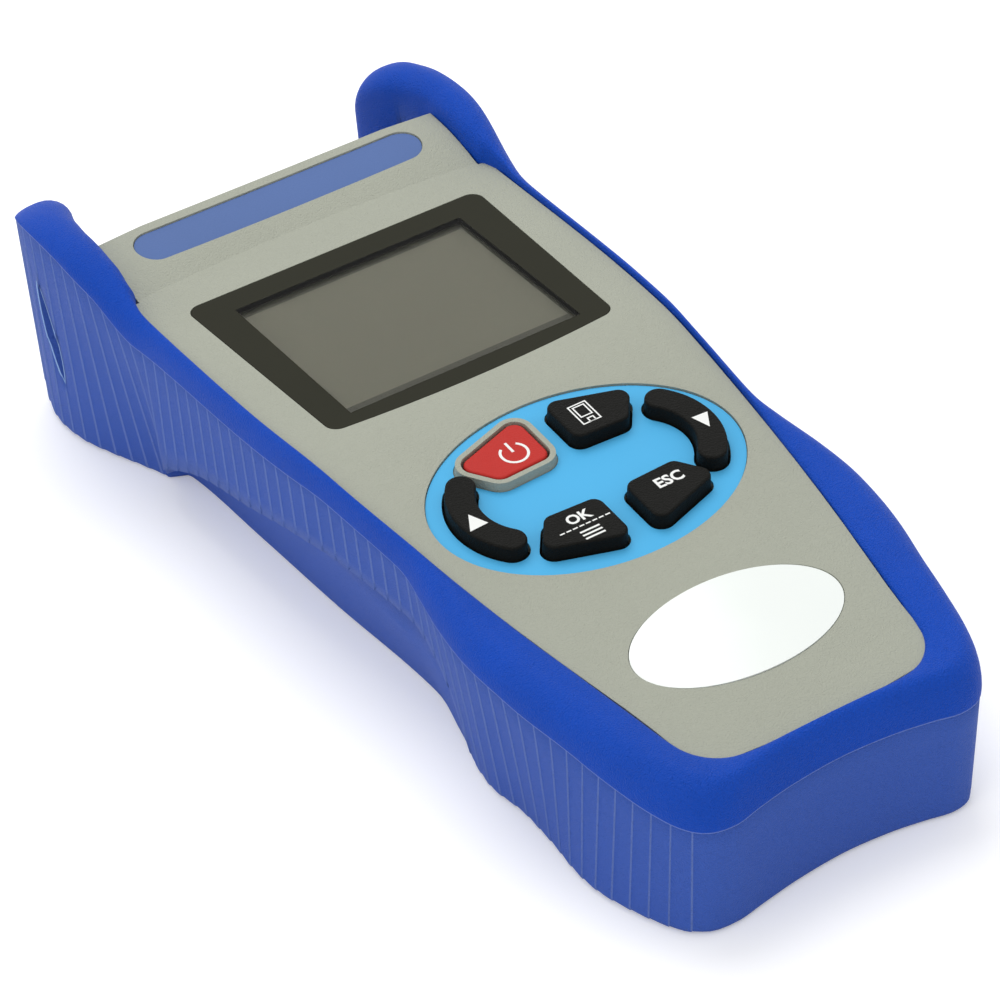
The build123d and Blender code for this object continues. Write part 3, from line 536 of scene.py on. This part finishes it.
# The finished boot is bent a little to meet the outline seen in the photo: the horns to the left,
# the right hip and bead inwards, the left hip outwards. With these amounts at zero it is symmetrical.
for vert in bm.verts:
    y = vert.co.y / mm
    horn = min(max((y - horn_lean_from_y) / horn_lean_run, 0.0), 1.0)
    vert.co.x -= horn_lean * mm * horn * horn * (3 - 2 * horn)
    if vert.co.x > 0:
        hip = min(max((hip_draft_from_y - y) / hip_draft_run, 0.0), 1.0)
        low = min(max(1 - vert.co.z / mm / hip_draft_top, 0.0), 1.0)
        side = min(vert.co.x / mm / full_bend_x, 1.0)
        vert.co.x -= hip_draft * mm * hip * hip * (3 - 2 * hip) * low * side * side
        outer = min(max((vert.co.x / mm - right_bead_from_x) / right_bead_run, 0.0), 1.0)
        high = min(max((vert.co.z / mm - right_bead_from_z) / right_bead_rise, 0.0), 1.0)
        vert.co.x -= eased(right_bead_tuck, y) * mm * outer * high
    else:
        hip = min(max((left_flare_from_y - y) / left_flare_run, 0.0), 1.0)
        low = min(max(1 - vert.co.z / mm / hip_draft_top, 0.0), 1.0)
        side = min(-vert.co.x / mm / full_bend_x, 1.0)
        vert.co.x -= left_flare * mm * hip * hip * (3 - 2 * hip) * low * side * side
bmesh.ops.recalc_face_normals(bm, faces=bm.faces)
boot_surface = BVHTree.FromBMesh(bm)
boot = new_object("boot", bm)

slit_low = (84.6, 12.5)
slit_high = (89.2, 33.4)
slit_bows = (88.9, 84.9)
slit_steps = 12
slit_tool_x = 60


def slit_outline():
    """Places y, z round the lens-shaped slit, up one bowed side and down the other."""
    places = []
    for low, high, bow in ((slit_low, slit_high, slit_bows[0]), (slit_high, slit_low, slit_bows[1])):
        for k in range(slit_steps):
            f = k / slit_steps
            y = low[0] + (high[0] - low[0]) * f + 4 * f * (1 - f) * (bow - (low[0] + high[0]) / 2)
            places.append(Vector((y, low[1] + (high[1] - low[1]) * f)))
    return places


bm = bmesh.new()
ring = [bm.verts.new(Vector((-slit_tool_x, spot.x, spot.y)) * mm) for spot in slit_outline()]
face = bm.faces.new(ring)
reach = bmesh.ops.extrude_face_region(bm, geom=[face])
pulled = [v for v in reach["geom"] if isinstance(v, bmesh.types.BMVert)]
bmesh.ops.translate(bm, vec=(2 * slit_tool_x * mm, 0, 0), verts=pulled)
bmesh.ops.recalc_face_normals(bm, faces=bm.faces)
slit_tool = new_object("strap_slit_tool", bm)
cut = boot.modifiers.new("strap_slit", "BOOLEAN")
cut.operation = "DIFFERENCE"
cut.solver = "EXACT"
cut.object = slit_tool
bpy.context.view_layer.update()
cut_mesh = bpy.data.meshes.new_from_object(boot.evaluated_get(bpy.context.evaluated_depsgraph_get()))
boot.modifiers.clear()
boot.data = cut_mesh
bpy.data.objects.remove(slit_tool)

# Its colour: deep blue on the bead; on the walls of the same rubber a paler and duller blue, which is
# painted reflection of the pale surroundings; and worn pale edges on the facets and along the parting
# line.
# The walls' paler, duller blue is painted reflection of the white table and sweep on the one blue rubber.
wall_blue_painted_sheen = (0.045, 0.112, 0.48, 1.0)
worn_blue = (0.35, 0.46, 0.8, 1.0)
worn_amount = 0.55
boot_finish = moulded(
    "boot_rubber", (0.003, 0.066, 0.49), roughness=0.5, cells=3400.0, depth=2.0, spread=0.1, gloss=0.16
)
tree = boot_finish.node_tree
shader = tree.nodes["Principled BSDF"]
base_link = shader.inputs["Base Color"].links[0].from_socket
bead_mask = tree.nodes.new("ShaderNodeAttribute")
bead_mask.attribute_name = "bead"
edge_mask = tree.nodes.new("ShaderNodeAttribute")
edge_mask.attribute_name = "pale_edge"
# Uses the bead mask to mix the bead's deep blue with the walls' painted reflection.
painted_sheen_mix = tree.nodes.new("ShaderNodeMix")
painted_sheen_mix.data_type = "RGBA"
painted_sheen_mix.inputs["A"].default_value = wall_blue_painted_sheen
tree.links.new(bead_mask.outputs["Fac"], painted_sheen_mix.inputs["Factor"])
tree.links.new(base_link, painted_sheen_mix.inputs["B"])
edge_mix = tree.nodes.new("ShaderNodeMix")
edge_mix.data_type = "RGBA"
edge_mix.inputs["B"].default_value = worn_blue
edge_amount = tree.nodes.new("ShaderNodeMath")
edge_amount.operation = "MULTIPLY"
edge_amount.inputs[1].default_value = worn_amount
tree.links.new(edge_mask.outputs["Fac"], edge_amount.inputs[0])
tree.links.new(edge_amount.outputs[0], edge_mix.inputs["Factor"])
tree.links.new(painted_sheen_mix.outputs["Result"], edge_mix.inputs["A"])
tree.links.new(edge_mix.outputs["Result"], shader.inputs["Base Color"])
boot.data.materials.clear()
boot.data.materials.append(boot_finish)
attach(boot, "case")
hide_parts("rubber_boot")

# The strap slits' lips: where the rubber is cut through for a hand strap, its edge is whitened by
# wear. It shows as a thin pale rim on both horns, laid on the boot's own surface.
lip_width = 0.28
lip_depth = 0.1
lip_lift = 0.05
lip_tuck = 0.02
outline = slit_outline()
middle = sum(outline, Vector((0, 0))) / len(outline)
bm = bmesh.new()
for side in (-1, 1):
    rows = []
    for k, spot in enumerate(outline):
        run = outline[(k + 1) % len(outline)] - outline[k - 1]
        out = Vector((run.y, -run.x)).normalized()
        if out.dot(spot - middle) < 0:
            out = -out
        if k in (0, slit_steps):
            out = (spot - middle).normalized()
        row = []
        for reach, sink in ((lip_width, -lip_lift), (0.0, -lip_lift), (-lip_tuck, lip_depth)):
            place = spot + out * reach
            start = Vector((side * slit_tool_x, place.x, place.y)) * mm
            hit = boot_surface.ray_cast(start, Vector((-side, 0, 0)))[0]
            row.append(bm.verts.new(hit - Vector((side * sink * mm, 0, 0))))
        rows.append(row)
    for k in range(len(rows)):
        one, two = rows[k], rows[(k + 1) % len(rows)]
        for n in (0, 1):
            bm.faces.new((one[n], one[n + 1], two[n + 1], two[n]))
bmesh.ops.recalc_face_normals(bm, faces=bm.faces)
slit_lips = new_object("slit_lips", bm)
slit_lips.data.materials.append(moulded(
    "worn_rubber", (0.32, 0.5, 0.85), roughness=0.6, cells=2500.0, depth=0.5, spread=0.1
))
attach(slit_lips, "case")

# The front shell: the gray front half of the case, one injection moulding with a fine matt grain. It
# holds the display, the keypad's oval recess and the header, and sits under the boot's bead.
dress("front_shell", moulded(
    "gray_plastic", (0.39, 0.405, 0.337), roughness=0.6, cells=3000.0, depth=1.2, spread=0.04
))

# The rear shell, the battery door let into it and the connector panel between the horns: black
# mouldings of the same grain, screwed to the front shell and mostly covered by the boot.
dark_finish = moulded(
    "dark_plastic", (0.02, 0.02, 0.022), roughness=0.55, cells=3000.0, depth=0.3, spread=0.1
)
for name in ("rear_shell", "battery_door", "end_panel"):
    dress(name, dark_finish)

# The display: a thin acrylic window glued over the panel's tray, clear in the middle with a dark
# printed border. The unlit panel under it is a dull gray-brown picture area inside a darker margin.
# Clear area and print, picture and margin are told apart by their place.
picture_half_x = 0.0235
picture_low_y = 0.0135
picture_top_y = 0.0494
margin_brown = (0.062, 0.062, 0.047)
clear_half_x = 0.024
clear_low_y = 0.01005
clear_top_y = 0.05075
window_gloss = 0.05
window_ior = 1.15


def inside_box(tree, half_x, low_y, top_y):
    """Mask node that is 1 inside an upright rectangle of the part's plan."""
    coords = tree.nodes.new("ShaderNodeTexCoord")
    split = tree.nodes.new("ShaderNodeSeparateXYZ")
    tree.links.new(coords.outputs["Object"], split.inputs["Vector"])
    across = tree.nodes.new("ShaderNodeMath")
    across.operation = "COMPARE"
    across.inputs[1].default_value = 0.0
    across.inputs[2].default_value = half_x
    tree.links.new(split.outputs["X"], across.inputs[0])
    upright = tree.nodes.new("ShaderNodeMath")
    upright.operation = "COMPARE"
    upright.inputs[1].default_value = (low_y + top_y) / 2
    upright.inputs[2].default_value = (top_y - low_y) / 2
    tree.links.new(split.outputs["Y"], upright.inputs[0])
    both = tree.nodes.new("ShaderNodeMath")
    both.operation = "MULTIPLY"
    tree.links.new(across.outputs[0], both.inputs[0])
    tree.links.new(upright.outputs[0], both.inputs[1])
    return both.outputs[0]


window_finish = moulded(
    "window_clear", (0.036, 0.036, 0.027), roughness=0.22, cells=900.0, depth=0.02, spread=0.05,
    gloss=window_gloss
)
tree = window_finish.node_tree
border_print = tree.nodes["Principled BSDF"]
border_print.inputs["IOR"].default_value = window_ior
clear_glass = tree.nodes.new("ShaderNodeBsdfPrincipled")
clear_glass.inputs["Base Color"].default_value = (0.97, 0.97, 0.96, 1.0)
clear_glass.inputs["Roughness"].default_value = 0.0
clear_glass.inputs["Metallic"].default_value = 0.0
clear_glass.inputs["IOR"].default_value = window_ior
clear_glass.inputs["Specular IOR Level"].default_value = window_gloss
clear_glass.inputs["Transmission Weight"].default_value = 1.0
tree.links.new(border_print.inputs["Normal"].links[0].from_socket, clear_glass.inputs["Normal"])
print_or_glass = tree.nodes.new("ShaderNodeMixShader")
clear = inside_box(tree, clear_half_x, clear_low_y, clear_top_y)
tree.links.new(clear, print_or_glass.inputs[0])
tree.links.new(border_print.outputs[0], print_or_glass.inputs[1])
tree.links.new(clear_glass.outputs[0], print_or_glass.inputs[2])
tree.links.new(print_or_glass.outputs[0], tree.nodes["Material Output"].inputs["Surface"])
dress("display_window", window_finish)
dress("window_mask", moulded(
    "border_print", (0.04, 0.04, 0.03), roughness=0.6, cells=1500.0, depth=0.0, spread=0.02, gloss=0.05
))
panel_finish = moulded(
    "display_panel", (0.135, 0.133, 0.101), roughness=0.5, cells=800.0, depth=0.0, spread=0.02, gloss=0.05
)
tree = panel_finish.node_tree
shader = tree.nodes["Principled BSDF"]
picture_color = shader.inputs["Base Color"].links[0].from_socket
margin_mix = tree.nodes.new("ShaderNodeMix")
margin_mix.data_type = "RGBA"
margin_mix.inputs["A"].default_value = (*margin_brown, 1.0)
in_picture = inside_box(tree, picture_half_x, picture_low_y, picture_top_y)
tree.links.new(in_picture, margin_mix.inputs["Factor"])
tree.links.new(picture_color, margin_mix.inputs["B"])
tree.links.new(margin_mix.outputs["Result"], shader.inputs["Base Color"])
dress("lcd_panel", panel_finish)
dress("lcd_frame", moulded(
    "display_tray", (0.7, 0.7, 0.68), roughness=0.5, cells=1500.0, depth=0.1, spread=0.03
))

# The keypad: a printed membrane glued into an oval recess, with silicone rubber keys standing
# through it. The white marks are printed on the keys' flat tops and travel with them.
dress("keypad_overlay", moulded(
    "overlay_print", (0.078, 0.45, 0.8), roughness=0.5, cells=3000.0, depth=0.1, spread=0.02, gloss=0.15
))
black_rubber = moulded(
    "key_black", (0.006, 0.006, 0.005), roughness=0.52, cells=3500.0, depth=1.6, spread=0.2, gloss=0.09
)
for name in ("save_key", "enter_key", "cancel_key", "left_arrow_key", "right_arrow_key"):
    dress(name, black_rubber)
dress("power_key", moulded(
    "key_red", (0.5, 0.028, 0.022), roughness=0.55, cells=3500.0, depth=0.5, spread=0.08, gloss=0.15
))

keypad_origin = Vector((0, -27.975, 34.9))
keypad_turn = Matrix.Rotation(math.radians(keypad_lean), 4, "X")
black_top = 2.4
red_top = 1.2
print_lift = 0.02
mark_finish = moulded(
    "mark_white", (0.85, 0.86, 0.84), roughness=0.5, cells=3000.0, depth=0.05, spread=0.02
)


def print_mark(name, faces, top, body):
    """Flat print on a key: outlines in the keypad's own u and v, laid on the key's top."""
    bm = bmesh.new()
    for outline in faces:
        ring = []
        for u, v in outline:
            place = keypad_origin + keypad_turn @ Vector((u, v, top + print_lift))
            ring.append(bm.verts.new(place * mm))
        bm.faces.new(ring)
    mark = new_object(name, bm)
    mark.data.materials.append(mark_finish)
    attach(mark, body)


def bar(u0, v0, u1, v1):
    """Upright rectangle between two corners."""
    return [(u0, v0), (u1, v0), (u1, v1), (u0, v1)]


def frame_bars(u0, v0, u1, v1, line):
    """Four bars round a rectangle."""
    return [
        bar(u0, v0, u1, v0 + line), bar(u0, v1 - line, u1, v1),
        bar(u0, v0 + line, u0 + line, v1 - line), bar(u1 - line, v0 + line, u1, v1 - line),
    ]


def lettering(word, size, u, v):
    """Faces of a plain generic word, centred on u and v."""
    curve = bpy.data.curves.new("letters", "FONT")
    curve.body = word
    curve.size = size
    curve.align_x = "CENTER"
    curve.align_y = "CENTER"
    curve.resolution_u = 3
    curve.offset = 0.03 * size
    holder = bpy.data.objects.new("letters", curve)
    bpy.context.scene.collection.objects.link(holder)
    bpy.context.view_layer.update()
    mesh = bpy.data.meshes.new_from_object(holder.evaluated_get(bpy.context.evaluated_depsgraph_get()))
    spots = [(vert.co.x + u, vert.co.y + v) for vert in mesh.vertices]
    faces = [[spots[k] for k in face.vertices] for face in mesh.polygons]
    bpy.data.objects.remove(holder)
    bpy.data.meshes.remove(mesh)
    return faces


print_mark("up_mark", [[(-23.3, 1.0), (-25.3, -2.8), (-21.6, -2.6)]], black_top, "left_arrow_key_body")
print_mark("down_mark", [[(21.9, 0.4), (23.2, -3.3), (25.1, 0.2)]], black_top, "right_arrow_key_body")
disk_line = 0.28
disk = frame_bars(5.5, 9.2, 9.3, 14.6, disk_line)
disk += frame_bars(6.15, 11.0, 8.65, 14.05, disk_line)
disk += frame_bars(6.9, 9.2, 8.3, 10.5, disk_line)
print_mark("save_mark", disk, black_top, "save_key_body")
power_ring = []
ring_u = -7.6
ring_v = 11.0
ring_inner = 2.2
ring_line = 0.5
ring_outer = ring_inner + ring_line
ring_gap = 38
ring_steps = 24
for k in range(ring_steps):
    quad = []
    for radius, step in ((ring_inner, k), (ring_outer, k), (ring_outer, k + 1), (ring_inner, k + 1)):
        turn = math.radians(90 + ring_gap + (360 - 2 * ring_gap) * step / ring_steps)
        quad.append((ring_u + radius * math.cos(turn), ring_v + radius * math.sin(turn)))
    power_ring.append(quad)
power_ring.append(bar(-7.85, 11.3, -7.35, 14.0))
print_mark("power_mark", power_ring, red_top, "power_key_body")
enter_print = lettering("OK", 3.1, -8.4, -10.0)
dash_count = 8
dash_pitch = 1.3
dash_length = 0.95
for k in range(dash_count):
    start_u = -13.4 + k * dash_pitch
    enter_print.append(bar(start_u, -12.15, start_u + dash_length, -11.85))
for k in range(3):
    enter_print.append(bar(-10.3, -13.6 - 0.9 * k, -6.4, -13.2 - 0.9 * k))
print_mark("enter_mark", enter_print, black_top, "enter_key_body")
print_mark("cancel_mark", lettering("ESC", 3.3, 9.7, -10.6), black_top, "cancel_key_body")

# The oval badge and the header label: a glossy white plate let into the low end and a blue printed
# label on the header, both glued into shallow seats of the front shell and left bare.
dress("badge_plate", moulded(
    "badge_white", (0.86, 0.9, 0.87), roughness=0.15, cells=500.0, depth=0.02, spread=0.01, gloss=0.3
))
dress("header_label", moulded(
    "label_print", (0.092, 0.158, 0.37), roughness=0.55, cells=2600.0, depth=0.3, spread=0.06, gloss=0.15
))

# The boards: the keypad's board under the keys and the main board under the display, green
# fibreglass screwed to the shells, with black chips and an amber flat cable between the two.
board_finish = moulded(
    "board_green", (0.01, 0.09, 0.03), roughness=0.4, cells=2000.0, depth=0.1, spread=0.1
)
dress("main_board", board_finish)
dress("keypad_board", board_finish)
dress("board_parts", moulded(
    "chip_black", (0.015, 0.015, 0.015), roughness=0.5, cells=2500.0, depth=0.3, spread=0.1
))
dress("keypad_ribbon", moulded(
    "ribbon_amber", (0.45, 0.17, 0.02), roughness=0.35, cells=800.0, depth=0.05, spread=0.05
))

# The metal pieces and the cells: plated steel screws, contacts, snap domes, socket and receivers,
# nickel-plated fibre adapters, and round cells in a dark sleeve behind the battery door.
steel_finish = moulded(
    "plated_steel", (0.6, 0.6, 0.58), roughness=0.3, cells=900.0, depth=0.05, spread=0.03, metallic=1.0
)
for name in ("board_screws", "case_screws", "door_screw", "key_domes", "usb_socket", "battery_contacts",
             "optical_receiver_left", "optical_receiver_right"):
    dress(name, steel_finish)
nickel_finish = moulded(
    "nickel", (0.66, 0.62, 0.54), roughness=0.22, cells=600.0, depth=0.04, spread=0.03, metallic=1.0
)
for name in ("optical_adapter_left", "optical_adapter_right"):
    dress(name, nickel_finish)
dress("battery_cells", moulded(
    "cell_sleeve", (0.03, 0.035, 0.05), roughness=0.25, cells=300.0, depth=0.03, spread=0.1
))

# The dust caps: soft black rubber caps pushed over the two fibre adapters, which pull straight off.
# One finish serves both.
cap_finish = moulded(
    "cap_rubber", (0.012, 0.012, 0.012), roughness=0.55, cells=2500.0, depth=0.3, spread=0.15
)
for name in ("dust_cap_left", "dust_cap_right"):
    dress(name, cap_finish)
